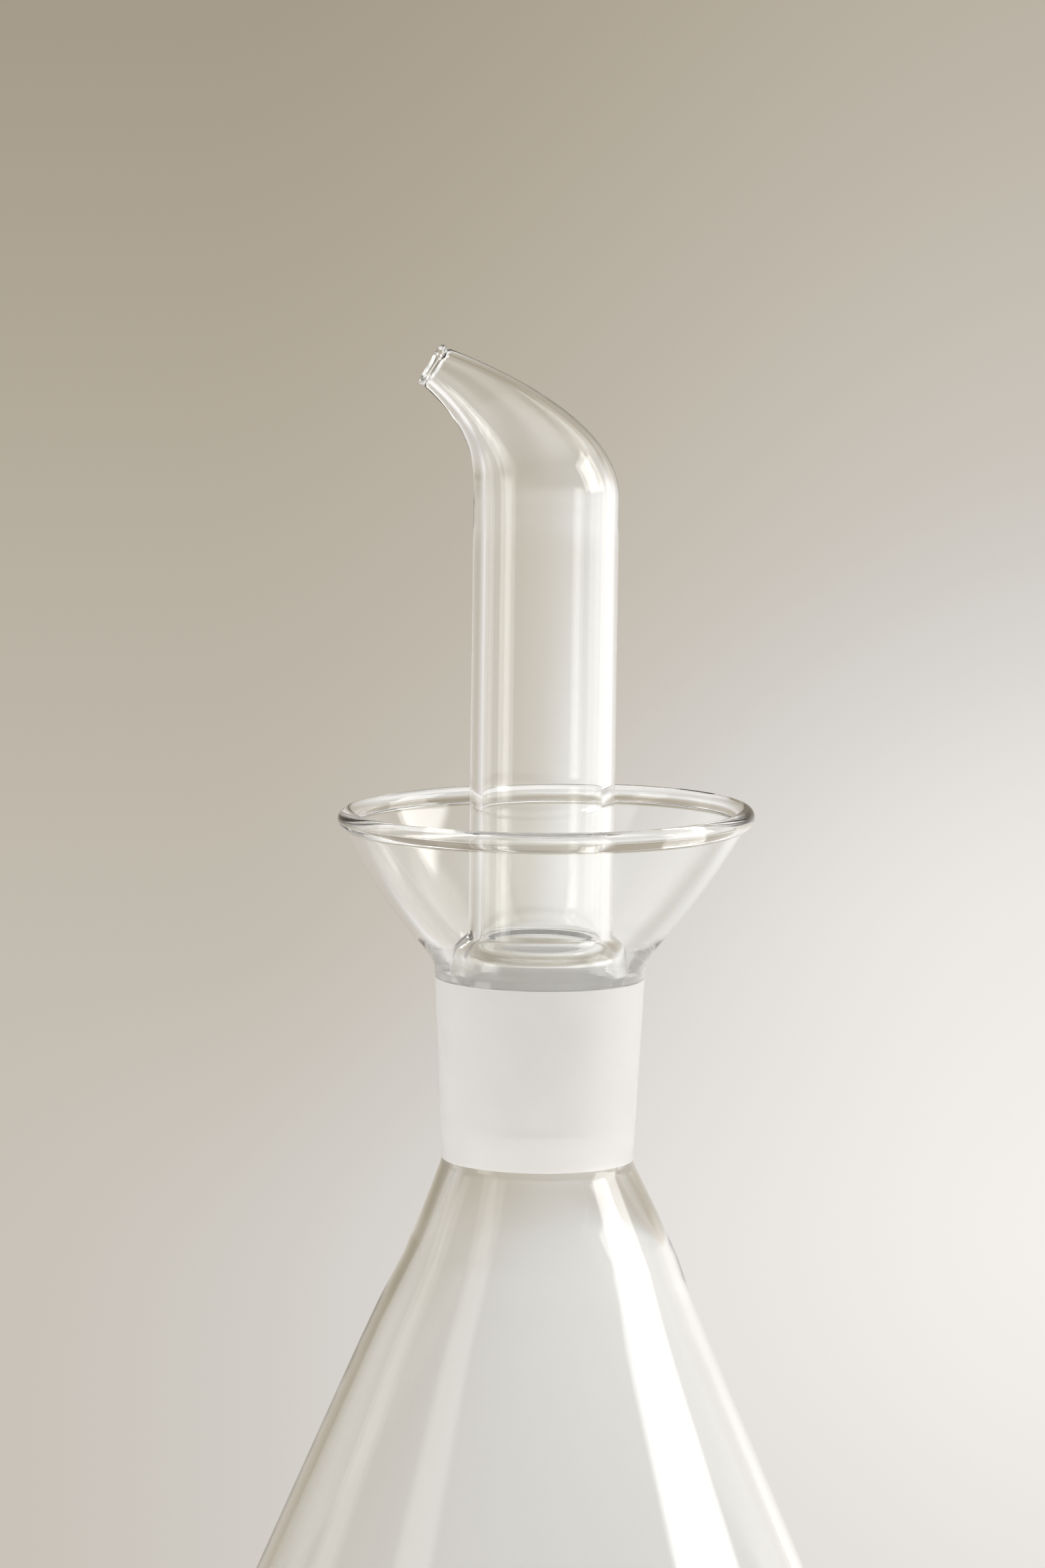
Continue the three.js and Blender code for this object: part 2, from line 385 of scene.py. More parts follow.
class Tree:
    """A node tree that is built up by calls."""

    def __init__(self, tree: bpy.types.NodeTree) -> None:
        """Empties a node tree and takes it over."""
        self.tree = tree
        tree.nodes.clear()

    def node(
        self,
        kind: str,
        settings: dict[str, Any] | None = None,
        sockets: dict[str | int, Any] | None = None,
    ) -> bpy.types.Node:
        """Adds a node.

        Args:
            kind: The node's type.
            settings: Its settings, which are set first.
            sockets: Its inputs by name or number: plain values, values in reckoning, or sockets to link.

        Returns:
            The node.
        """
        made = self.tree.nodes.new(kind)
        for key, setting in (settings or {}).items():
            setattr(made, key, setting)
        for key, wanted in (sockets or {}).items():
            if isinstance(wanted, Value):
                wanted = wanted.socket
            if isinstance(wanted, bpy.types.NodeSocket):
                self.tree.links.new(wanted, made.inputs[key])
            else:
                made.inputs[key].default_value = wanted
        return made

    def value(self, node: bpy.types.Node, output: str | int = 0) -> Value:
        """One of a node's number outputs, to reckon with."""
        return Value(self, node.outputs[output])

    def split(self, vector: bpy.types.NodeSocket) -> tuple[Value, Value, Value]:
        """A vector's three parts."""
        node = self.node("ShaderNodeSeparateXYZ", sockets={0: vector})
        return self.value(node, 0), self.value(node, 1), self.value(node, 2)

    def joined(self, x: Any, y: Any, z: Any) -> bpy.types.NodeSocket:
        """A vector from its three parts."""
        return self.node("ShaderNodeCombineXYZ", sockets={0: x, 1: y, 2: z}).outputs[0]

    def along(self, vector: bpy.types.NodeSocket, direction: Sequence[float]) -> Value:
        """How far a vector reaches in a direction."""
        sockets = {0: vector, 1: tuple(direction)}
        node = self.node("ShaderNodeVectorMath", {"operation": "DOT_PRODUCT"}, sockets)
        return self.value(node, "Value")

    def noise(
        self, vector: bpy.types.NodeSocket, scale: float, detail: float = 2.0, rough: float = 0.5
    ) -> Value:
        """Adds a noise pattern.

        Args:
            vector: Where it is read.
            scale: How fine it is.
            detail: How many finer patterns are added.
            rough: How strong the finer ones are.

        Returns:
            The pattern, from 0 to 1.
        """
        node = self.node(
            "ShaderNodeTexNoise",
            {"noise_dimensions": "3D"},
            {"Vector": vector, "Scale": scale, "Detail": detail, "Roughness": rough},
        )
        return self.value(node, 0)

    def mixed(self, share: Any, first: Any, second: Any, blend: str = "MIX") -> bpy.types.NodeSocket:
        """Mixes two colours.

        Args:
            share: How much of the second, from 0 to 1.
            first: A colour or a socket.
            second: A colour or a socket.
            blend: The way they're mixed.

        Returns:
            The mixed colour's socket.
        """
        node = self.node(
            "ShaderNodeMix",
            {"data_type": "RGBA", "blend_type": blend, "clamp_factor": False},
            {0: share, 6: first, 7: second},
        )
        return node.outputs[2]


def coloured(red: float, green: float, blue: float) -> tuple[float, float, float, float]:
    """An opaque colour in linear light."""
    return (red, green, blue, 1.0)


@dataclass(frozen=True)
class ClearGlass:
    """Clear blown glass, with the faint waves and fine lines that drawing it out leaves."""

    name: str = "clear_glass"
    ior: float = 1.473
    tint: tuple[float, float, float] = (0.985, 0.99, 0.985)
    wave_height: float = 0.010 * MM
    wave_scale: float = 2.6
    line_height: float = 0.0016 * MM
    line_scale: float = 26.0
    pool_scale: float = 55.0
    pool_share: float = 0.4
    drawn_out: float = 6.0

    def make(self) -> bpy.types.Material:
        """Makes the material."""
        material = bpy.data.materials.new(self.name)
        material.use_nodes = True
        tree = Tree(material.node_tree)
        place = tree.node("ShaderNodeTexCoord").outputs["Object"]
        x, y, z = tree.split(place)
        distance = (x * x + y * y).most(1e-8) ** 0.5
        # Round the axis the patterns are fine, and along it they are drawn out.
        drawn = tree.joined(x / distance, y / distance, z * self.drawn_out)
        waves = tree.noise(drawn, self.wave_scale, 1.0)
        lines = tree.noise(drawn, self.line_scale, 3.0, 0.65)
        pooled = tree.noise(place, self.pool_scale, 1.0)
        height = waves * self.wave_height + lines * self.line_height
        height = height + pooled * self.wave_height * self.pool_share
        bump = tree.node("ShaderNodeBump", sockets={"Strength": 1.0, "Distance": 1.0, "Height": height})
        shader = tree.node(
            "ShaderNodeBsdfPrincipled",
            sockets={
                "Base Color": coloured(*self.tint),
                "Roughness": 0.0,
                "IOR": self.ior,
                "Transmission Weight": 1.0,
                "Normal": bump.outputs[0],
            },
        )
        tree.node("ShaderNodeOutputMaterial", sockets={"Surface": shader.outputs[0]})
        return material


@dataclass(frozen=True)
class GroundGlass:
    """Glass ground with fine grit to a white, even frost, with faint rings from the grinding."""

    name: str = "ground_glass"
    ior: float = 1.473
    frost: tuple[float, float, float] = (0.975, 0.972, 0.97)
    roughness: float = 0.45
    roughness_spread: float = 0.12
    clearness: float = 0.93
    grit_height: float = 0.003 * MM
    grit_scale: float = 3200.0
    ring_share: float = 0.5
    ring_scale: float = 900.0
    ring_waver: float = 20.0
    cloud_scale: float = 160.0
    cloud_shade: float = 0.97

    def make(self) -> bpy.types.Material:
        """Makes the material."""
        material = bpy.data.materials.new(self.name)
        material.use_nodes = True
        tree = Tree(material.node_tree)
        place = tree.node("ShaderNodeTexCoord").outputs["Object"]
        x, y, z = tree.split(place)
        grit = tree.noise(place, self.grit_scale, 2.0, 0.6)
        stacked = tree.joined(x * self.ring_waver, y * self.ring_waver, z * self.ring_scale)
        rings = tree.noise(stacked, 1.0, 2.0, 0.6)
        clouds = tree.noise(place, self.cloud_scale, 2.0)
        height = grit * self.grit_height + rings * self.grit_height * self.ring_share
        bump = tree.node("ShaderNodeBump", sockets={"Strength": 1.0, "Distance": 1.0, "Height": height})
        shade = coloured(*(c * self.cloud_shade for c in self.frost))
        tone = tree.mixed(clouds.ramp(0.3, 0.75), coloured(*self.frost), shade)
        shader = tree.node(
            "ShaderNodeBsdfPrincipled",
            sockets={
                "Base Color": tone,
                "Roughness": self.roughness + (rings - 0.5) * self.roughness_spread,
                "IOR": self.ior,
                "Transmission Weight": self.clearness,
                "Normal": bump.outputs[0],
            },
        )
        tree.node("ShaderNodeOutputMaterial", sockets={"Surface": shader.outputs[0]})
        return material


@dataclass(frozen=True)
class PaleTable:
    """A plain pale table top that fades into the studio behind it."""

    name: str = "pale_table"
    tone: tuple[float, float, float] = (0.62, 0.61, 0.595)
    roughness: float = 0.6
    grain_height: float = 0.02 * MM
    grain_scale: float = 900.0
    grain_shade: float = 0.985
    solid_to: float = 0.075
    gone_by: float = 0.15

    def make(self) -> bpy.types.Material:
        """Makes the material."""
        material = bpy.data.materials.new(self.name)
        material.use_nodes = True
        tree = Tree(material.node_tree)
        place = tree.node("ShaderNodeTexCoord").outputs["Object"]
        x, y, _ = tree.split(place)
        distance = (x * x + y * y) ** 0.5
        grain = tree.noise(place, self.grain_scale, 3.0, 0.6)
        shade = coloured(*(c * self.grain_shade for c in self.tone))
        tone = tree.mixed(grain, shade, coloured(*self.tone))
        sockets = {"Strength": 0.2, "Distance": self.grain_height, "Height": grain}
        bump = tree.node("ShaderNodeBump", sockets=sockets)
        shader = tree.node(
            "ShaderNodeBsdfPrincipled",
            sockets={
                "Base Color": tone,
                "Roughness": self.roughness,
                "Alpha": distance.ramp(self.gone_by, self.solid_to),
                "Normal": bump.outputs[0],
            },
        )
        tree.node("ShaderNodeOutputMaterial", sockets={"Surface": shader.outputs[0]})
        return material


class Finish(Enum):
    """The finishes of the object, in the order of their places on a mesh."""

    CLEAR = 0
    GROUND = 1
    SATIN = 2


# ---- The glass ------------------------------------------------------------


@dataclass(frozen=True)
class Taper:
    """The standard taper that the socket and the stopper are ground to."""

    slope: float = 0.05
    bore: float = 29.2
    top: float = 134.4
    bottom: float = 103.8
    socket_wall: float = 2.8
    clearance: float = 0.06

    def bore_radius(self, height: float) -> float:
        """The socket's inner radius at a height."""
        return self.bore / 2 + self.slope * (height - self.top)

    def cone_radius(self, height: float) -> float:
        """The stopper's outer radius at a height."""
        return self.bore_radius(height) - self.clearance


@dataclass
class Blown:
    """A piece of blown glass: a mesh turned from an outline, part of it ground."""

    taper: Taper
    name: str = "glass"
    steps: int = 128

    def finish_at(self, centre: Vector) -> Finish:
        """The finish of a face with this centre."""
        raise NotImplementedError

    def finish(
        self, made: bmesh.types.BMesh, materials: dict[Finish, bpy.types.Material]
    ) -> bpy.types.Object:
        """Dresses the mesh, takes it to metres and makes it an object.

        Args:
            made: The finished mesh in millimetres.
            materials: The material of each finish.

        Returns:
            The object, at the origin.
        """
        bmesh.ops.scale(made, vec=(MM, MM, MM), verts=made.verts)
        mesh = bpy.data.meshes.new(self.name)
        for face in made.faces:
            face.smooth = True
        made.to_mesh(mesh)
        made.free()
        for which in Finish:
            mesh.materials.append(materials[which])
        piece = bpy.data.objects.new(self.name, mesh)
        bpy.context.scene.collection.objects.link(piece)
        LOG.info("%s: %d faces", self.name, len(mesh.polygons))
        return piece

    def mark_finishes(self, made: bmesh.types.BMesh) -> None:
        """Gives each face its finish, while the mesh still is a plain turning in millimetres."""
        for face in made.faces:
            face.material_index = self.finish_at(face.calc_center_median()).value


@dataclass
class Flask(Blown):
    """The conical body, its ground socket and the drip funnel with its beaded rim."""

    name: str = "flask"
    body_diameter: float = 113.0
    body_wall: float = 1.8
    base_thickness: float = 2.4
    heel_radius: float = 8.0
    foot_ring_width: float = 14.0
    push_up: float = 0.8
    neck_blend: float = 11.0
    neck_reach: float = 1.2
    bore_reach: float = 1.6
    side_reach: float = 3.5
    socket_sight: float = 9.0
    frost_margin: float = 0.3
    rim_diameter: float = 69.0
    rim_bead: float = 3.2
    funnel_height: float = 26.3
    funnel_wall: float = 1.9
    funnel_bulge: float = 1.1
    flare_height: float = 3.2
    flare_foot: float = 1.0
    flare_reach: float = 5.0
    mouth_relief: float = 0.4
    rim_shift: float = 0.7
    rim_tilt: float = 0.014
    rim_lean: float = 0.010
    rim_lift: float = 0.35
    rim_wave: float = 0.1
    funnel_shift: float = 0.9
    neck_drift: float = 0.75
    neck_drift_length: float = 28.0

    def _base_outer(self) -> list[Vector]:
        """The underside, from the axis to the foot ring's outer edge."""
        inner = self.body_diameter / 2 - self.heel_radius - self.foot_ring_width
        shares = [i / BASE_ROWS for i in range(BASE_ROWS + 1)]
        rise = [Vector((inner * share, self.push_up * (1 - share**2))) for share in shares]
        return rise + [Vector((inner + self.foot_ring_width / 2, 0.0))]

    def _lean(self, heel: Vector, neck: Vector) -> float:
        """The angle of the side's outward normal above the horizontal."""
        toward = neck - heel
        return math.atan2(toward.y, toward.x) - math.acos(self.heel_radius / toward.length)

    def _body(self) -> tuple[list[Vector], list[Vector]]:
        """Draws the body's two faces.

        Returns:
            The outer face upwards from the axis to the socket, and the inner face downwards from the bore.
        """
        taper = self.taper
        heel = Vector((self.body_diameter / 2 - self.heel_radius, self.heel_radius))
        neck = Vector((taper.bore_radius(taper.bottom) + taper.socket_wall, taper.bottom))
        lean = self._lean(heel, neck)
        heel_arc = arc(heel, self.heel_radius, -math.pi / 2, lean, HEEL_STEPS)
        sight = taper.bottom + self.socket_sight
        above = Vector((taper.bore_radius(sight) + taper.socket_wall, sight))
        neck_turn = eased_corner(heel_arc[-1], neck, above, self.neck_reach, TURN_STEPS)
        side = straight(heel_arc[-1], neck_turn[0], SIDE_STEPS)
        outer = self._base_outer() + heel_arc + side + neck_turn

        lift = self.base_thickness - self.body_wall
        inner_heel = heel + Vector((-lift * math.tan(lean), lift))
        inner_arc = arc(inner_heel, self.heel_radius - self.body_wall, lean, -math.pi / 2, HEEL_STEPS)
        side_top = Vector(
            (
                neck.x - self.body_wall / math.cos(lean) + self.neck_blend * math.tan(lean),
                taper.bottom - self.neck_blend,
            )
        )
        bore_foot = Vector((taper.bore_radius(taper.bottom), taper.bottom))
        bore_above = Vector((taper.bore_radius(sight), sight))
        bore_turn = eased_corner(bore_above, bore_foot, side_top, self.bore_reach, TURN_STEPS)
        side_turn = eased_corner(bore_foot, side_top, inner_arc[0], self.side_reach, TURN_STEPS)
        floor = [Vector((p.x, p.y + self.base_thickness)) for p in self._base_outer()[::-1]]
        inner = (
            bore_turn
            + straight(bore_turn[-1], side_turn[0], NECK_STEPS)
            + side_turn
            + straight(side_turn[-1], inner_arc[0], SIDE_STEPS)
            + inner_arc
            + floor
        )
        return outer, inner

    def _funnel(self) -> list[Vector]:
        """The funnel's outline, from the socket's outer top over the bead to the mouth of the bore."""
        taper = self.taper
        foot_wall = taper.socket_wall - self.mouth_relief
        foot_radius = taper.bore / 2 + taper.socket_wall - foot_wall / 2
        corner = Vector((foot_radius, taper.top + self.flare_height))
        rim = Vector(((self.rim_diameter - self.rim_bead) / 2, taper.top + self.funnel_height))
        chord = rim - corner
        outward = Vector((chord.y, -chord.x)).normalized()
        bulge = (corner + rim) / 2 + outward * 2 * self.funnel_bulge
        side = Path([corner, bulge, rim])
        share = self.flare_reach / side.length
        wall = Wall()
        fillet = [Vector((foot_radius, taper.top + self.flare_foot)), corner, side.at(share)]
        for i in range(FLARE_STEPS + 1):
            part = i / FLARE_STEPS
            wall.add(bezier(fillet, part), foot_wall + (self.funnel_wall - foot_wall) * part)
        for i in range(1, FUNNEL_STEPS + 1):
            wall.add(side.at(share + (1 - share) * i / FUNNEL_STEPS), self.funnel_wall)
        return wall.beaded(self.rim_bead, RIM_STEPS)

    def finish_at(self, centre: Vector) -> Finish:
        """Ground in the bore of the socket, and etched to a satin outside it."""
        distance = Vector((centre.x, centre.y)).length
        past_bore = distance - self.taper.bore_radius(centre.z)
        if not self.taper.bottom + self.frost_margin < centre.z < self.taper.top:
            return Finish.CLEAR
        if abs(past_bore) < NEAR:
            return Finish.GROUND
        outside = past_bore > self.taper.socket_wall - self.frost_margin
        return Finish.SATIN if outside else Finish.CLEAR

    def _unevenness(self, made: bmesh.types.BMesh) -> None:
        """Leans and waves the rim, and shifts the funnel and the neck a little, as hand work does.

        Args:
            made: The true turning.
        """
        taper = self.taper
        for vert in made.verts:
            rise = max(vert.co.z - taper.top, 0.0) / self.funnel_height
            lift = self.rim_lift + self.rim_tilt * vert.co.x + self.rim_lean * vert.co.y
            lift += self.rim_wave * math.sin(2 * math.atan2(vert.co.y, vert.co.x))
            vert.co.z += rise * rise * lift
            vert.co.x += self.rim_shift * rise * rise - self.funnel_shift * rise * max(1.0 - rise, 0.0)
            under = min(max((taper.bottom - vert.co.z) / self.neck_drift_length, 0.0), 1.0)
            vert.co.x += self.neck_drift * math.sin(math.pi * under) ** 2

    def build(self, materials: dict[Finish, bpy.types.Material]) -> bpy.types.Object:
        """Turns and dresses the flask.

        Args:
            materials: The material of each finish.

        Returns:
            The flask.
        """
        taper = self.taper
        outer, inner = self._body()
        socket_top = Vector((taper.bore_radius(taper.top), taper.top))
        outline = outer + straight(outer[-1], Vector((outer[-1].x, taper.top)), SOCKET_STEPS)
        for i, point in enumerate(outline):
            if point.y > taper.bottom + self.neck_reach + NEAR:
                outline[i] = Vector((taper.bore_radius(point.y) + taper.socket_wall, point.y))
        outline.append(socket_top + Vector((taper.socket_wall, 0.0)))
        outline += self._funnel() + [socket_top] + straight(socket_top, inner[0], BORE_STEPS) + inner
        made = turned(outline, self.steps, closed=False)
        self.mark_finishes(made)
        self._unevenness(made)
        return self.finish(made, materials)


@dataclass(frozen=True)
class Rail:
    """The back or the belly of the bent mouth, as a line in the plane of the axis.

    It leaves the straight tube at the height of its bend, led on upwards for its rise. It meets the lip at
    its end, led back from there for its draw, at a slope in degrees above the horizontal.
    """

    bend: float
    rise: float
    end: tuple[float, float]
    slope: float
    draw: float

    def path(self, side: float, start: float) -> Path:
        """Draws the line.

        Args:
            side: Its place beside the axis in the straight tube.
            start: The height at which the spout starts.

        Returns:
            The line, from the spout's start to the lip.
        """
        angle = math.radians(self.slope)
        foot, end = Vector((side, self.bend)), Vector(self.end)
        led_back = end + self.draw * Vector((math.cos(angle), -math.sin(angle)))
        bent = Path([foot, foot + Vector((0.0, self.rise)), led_back, end])
        return Path.through([Vector((side, start)), *bent.points])


@dataclass
class Spout:
    """The bent mouth, held between two lines in the plane of the axis: its back and its belly."""

    radius: float
    start: float = 208.0
    back_rail: Rail = Rail(bend=214.0, rise=9.2, end=(-17.0, 238.4), slope=20.0, draw=18.8)
    belly_rail: Rail = Rail(bend=216.9, rise=8.3, end=(-20.6, 232.2), slope=45.0, draw=2.5)
    lag: float = 1.3
    samples: int = 200
    nudge: float = 0.01

    def __post_init__(self) -> None:
        """Draws the two lines, and measures the way between them."""
        self.back = self.back_rail.path(self.radius, self.start)
        self.belly = self.belly_rail.path(-self.radius, self.start)
        middles = [self._ends(i / self.samples) for i in range(self.samples + 1)]
        centres = [(back + belly) / 2 for back, belly in middles]
        self.length = sum((b - a).length for a, b in zip(centres, centres[1:]))

    def _ends(self, share: float) -> tuple[Vector, Vector]:
        """The points of the back and the belly that a section joins."""
        belly = self.belly.length * share
        extra = (self.back.length - self.belly.length) * share**self.lag
        return self.back.at((belly + extra) / self.back.length), self.belly.at(share)

    def section(self, share: float) -> tuple[Vector, Vector, float]:
        """Works out one section of the spout.

        Args:
            share: How far along the spout, from 0 to 1.

        Returns:
            The section's centre, the arm from there to the back, and the radius across the plane of the axis.
        """
        back, belly = self._ends(share)
        arm = (back - belly) / 2
        before = self._ends(max(share - self.nudge, 0.0))
        after = self._ends(min(share + self.nudge, 1.0))
        along = (sum(after, Vector((0.0, 0.0))) - sum(before, Vector((0.0, 0.0)))).normalized()
        return (back + belly) / 2, arm, abs(arm.x * along.y - arm.y * along.x)

    def bend(self, made: bmesh.types.BMesh) -> None:
        """Carries what lies above the spout's start into its sections.

        Args:
            made: The straight stopper.
        """
        for vert in made.verts:
            past = vert.co.z - self.start
            if past <= 0:
                continue
            share = min(past / self.length, 1.0)
            centre, arm, radius = self.section(share)
            ahead = Vector((-arm.y, arm.x)).normalized() * (past - share * self.length)
            place = centre + arm * (vert.co.x / radius) + ahead
            vert.co.x, vert.co.z = place.x, place.y


@dataclass
class Stopper(Blown):
    """The hollow ground taper, its shoulder with a drain hole, the upright tube and the bent mouth."""

    name: str = "stopper"
    steps: int = 96
    proud: float = 3.0
    length: float = 28.0
    wall: float = 2.0
    shoulder_height: float = 5.0
    shoulder_land: float = 0.6
    hole_diameter: float = 4.4
    tube_diameter: float = 24.0
    tube_wall: float = 2.0
    tip_wall: float = 1.4
    thinning: float = 1.4
    lip_bead: float = 1.9
    edge_land: float = 1.0
    frost_start: float = 0.9
    arris_below: float = 0.35
    arris_above: float = 0.2
    hole_edge: float = 0.3
    hole_rows: int = 5
    hole_columns: int = 2

    @property
    def cone_top(self) -> float:
        """The height at which the ground taper ends."""
        return self.taper.top + self.proud

    @property
    def tube_bottom(self) -> float:
        """The height at which the tube's straight part starts."""
        return self.cone_top + self.shoulder_height

    @property
    def hole_row(self) -> int:
        """The wall's station in the middle of the drain hole."""
        return CONE_ROWS + 2 + SHOULDER_ROWS // 2 - 1

    def _shoulder(self) -> list[Vector]:
        """The control points of the shoulder's middle line, upwards."""
        turn_in_radius = self.taper.cone_radius(self.cone_top) - self.wall / 2
        turn_in = Vector((turn_in_radius, self.cone_top + self.shoulder_land))
        tube_foot = Vector(((self.tube_diameter - self.tube_wall) / 2, self.tube_bottom))
        middle = (turn_in.y + tube_foot.y) / 2
        return [turn_in, Vector((turn_in.x, middle)), Vector((tube_foot.x, middle)), tube_foot]

    def _wall(self, spout: "Spout") -> Wall:
        """Draws the stopper's wall unbent, upwards.

        Args:
            spout: The bent part.

        Returns:
            The wall, from just above the rounded lower edge to the lip.
        """
        taper = self.taper
        edge = self.wall / 2
        lowest = self.cone_top - self.length + edge + self.edge_land
        wall = Wall()
        for i in range(CONE_ROWS):
            height = lowest + (taper.top - lowest) * i / (CONE_ROWS - 1)
            wall.add(Vector((taper.cone_radius(height) - edge, height)), self.wall)
        shoulder = self._shoulder()
        arris = self.cone_top - self.arris_below
        wall.add(Vector((taper.cone_radius(arris) - edge, arris)), self.wall)
        wall.add(Vector((shoulder[0].x, self.cone_top + self.arris_above)), self.wall)
        for i in range(SHOULDER_ROWS + 1):
            wall.add(bezier(shoulder, i / SHOULDER_ROWS), self.wall)
        for i in range(1, TUBE_ROWS):
            height = self.tube_bottom + (spout.start - self.tube_bottom) * i / TUBE_ROWS
            wall.add(Vector((shoulder[-1].x, height)), self.tube_wall)
        for i in range(SPOUT_ROWS + 1):
            share = i / SPOUT_ROWS
            thinned = min(share * self.thinning, 1.0)
            thickness = self.tube_wall + (self.tip_wall - self.tube_wall) * thinned
            radius = spout.section(share)[2] - thickness / 2
            wall.add(Vector((radius, spout.start + share * spout.length)), thickness)
        return wall

    def finish_at(self, centre: Vector) -> Finish:
        """Ground on the outside of the taper, as far as it fills the socket."""
        distance = Vector((centre.x, centre.y)).length
        outside = abs(distance - self.taper.cone_radius(centre.z)) < NEAR
        lowest = self.cone_top - self.length + self.frost_start
        ground = outside and lowest < centre.z < self.taper.top + NEAR
        return Finish.GROUND if ground else Finish.CLEAR

    def _drill(self, made: bmesh.types.BMesh, wall: Wall) -> None:
        """Opens the drain hole through the shoulder, on the spout's side, with softened edges.

        Args:
            made: The stopper, unbent.
            wall: The wall it was turned from.
        """
        patch: set[bmesh.types.BMVert] = set()
        for line in wall.faces():
            self._open_grid(made, line, patch)
        gone = [face for face in made.faces if all(vert in patch for vert in face.verts)]
        bmesh.ops.delete(made, geom=gone, context="FACES")
        rims = [edge for edge in made.edges if edge.is_boundary]
        bmesh.ops.bridge_loops(made, edges=rims)
        bmesh.ops.recalc_face_normals(made, faces=made.faces)
        bmesh.ops.bevel(
            made,
            geom=rims,
            offset=self.hole_edge,
            offset_type="OFFSET",
            affect="EDGES",
            segments=3,
            profile=0.5,
            material=-1,
            clamp_overlap=True,
        )

    def _open_grid(
        self, made: bmesh.types.BMesh, line: list[Vector], patch: set[bmesh.types.BMVert]
    ) -> None:
        """Slides the grid of one face of the wall along itself until a square of it is round.

        Args:
            made: The stopper, unbent.
            line: The face's profile, upwards.
            patch: Takes the vertices on and within the round edge.
        """
        middle = self.hole_row
        lengths = [0.0]
        for a, b in zip(line, line[1:]):
            lengths.append(lengths[-1] + (b - a).length)
        rows = range(middle - 2 * self.hole_rows, middle + 2 * self.hole_rows + 1)
        turn = 2 * math.pi / self.steps
        for vert in list(made.verts):
            angle = math.atan2(vert.co.y, -vert.co.x)
            column = round(angle / turn)
            if abs(column) > 2 * self.hole_columns:
                continue
            distance = math.hypot(vert.co.x, vert.co.y)
            row = min(rows, key=lambda i: (line[i] - Vector((distance, vert.co.z))).length)
            if (line[row] - Vector((distance, vert.co.z))).length > ON_LINE:
                continue
            square = Vector((column / self.hole_columns, (row - middle) / self.hole_rows))
            out = max(abs(square.x), abs(square.y))
            if out <= 1.0:
                patch.add(vert)
            if out == 0.0:
                continue
            still = Vector((distance * math.sin(angle), lengths[row] - lengths[middle]))
            circle = square.normalized() * out * self.hole_diameter / 2
            moved = circle.lerp(still, min(max(out - 1.0, 0.0), 1.0))
            self._slide(vert, line, lengths, lengths[middle] + moved.y, moved.x)

    @staticmethod
    def _slide(
        vert: bmesh.types.BMVert, line: list[Vector], lengths: list[float], height: float, across: float
    ) -> None:
        """Moves a vertex along the face of the wall that it lies on.

        Args:
            vert: The vertex.
            line: The face's profile.
            lengths: The length of the profile up to each of its points.
            height: Where to, along the profile.
            across: Where to, sideways.
        """
        step = next(i for i in range(len(lengths) - 1) if lengths[i + 1] >= height)
        part = (height - lengths[step]) / (lengths[step + 1] - lengths[step])
        point = line[step].lerp(line[step + 1], part)
        vert.co = (-math.sqrt(point.x**2 - across**2), across, point.y)

    def build(self, materials: dict[Finish, bpy.types.Material]) -> bpy.types.Object:
        """Turns, drills, bends and dresses the stopper.

        Args:
            materials: The material of each finish.

        Returns:
            The stopper.
        """
        bottom = self.cone_top - self.length
        edge = self.wall / 2
        edge_centre = Vector((self.taper.cone_radius(bottom) - edge, bottom + edge))
        spout = Spout(radius=self.tube_diameter / 2)
        wall = self._wall(spout)
        lower_edge = arc(edge_centre, edge, -math.pi, 0.0, EDGE_STEPS)
        made = turned(lower_edge + wall.beaded(self.lip_bead, LIP_STEPS), self.steps, closed=True)
        self.mark_finishes(made)
        self._drill(made, wall)
        spout.bend(made)
        return self.finish(made, materials)


# ---- The studio -----------------------------------------------------------


@dataclass(frozen=True)
class Panel:
    """A bright panel far off, as the glass sees it.

    The azimuth is in degrees from the camera's side, -Y, towards +X.
    """

    azimuth: float
    elevation: float
    width: float
    height: float
    strength: float
    tone: tuple[float, float, float] = (1.0, 1.0, 1.0)
    softness: float = 0.25

    def mask(self, tree: Tree, direction: bpy.types.NodeSocket) -> Value:
        """Adds the panel's shape.

        Args:
            tree: The world's nodes.
            direction: The direction looked in.

        Returns:
            1 on the panel and 0 off it, with soft edges.
        """
        a, e = math.radians(self.azimuth), math.radians(self.elevation)
        ahead = Vector((math.sin(a) * math.cos(e), -math.cos(a) * math.cos(e), math.sin(e)))
        right = Vector((math.cos(a), math.sin(a), 0.0))
        up = right.cross(ahead) * -1
        facing = tree.along(direction, ahead)
        depth = facing.most(0.001)
        wide = math.tan(math.radians(self.width / 2))
        high = math.tan(math.radians(self.height / 2))
        across = abs(tree.along(direction, right) / depth)
        upright = abs(tree.along(direction, up) / depth)
        sides = across.ramp(wide * (1 + self.softness), wide * (1 - self.softness))
        ends = upright.ramp(high * (1 + self.softness), high * (1 - self.softness))
        return sides * ends * facing.ramp(0.0, 0.02)


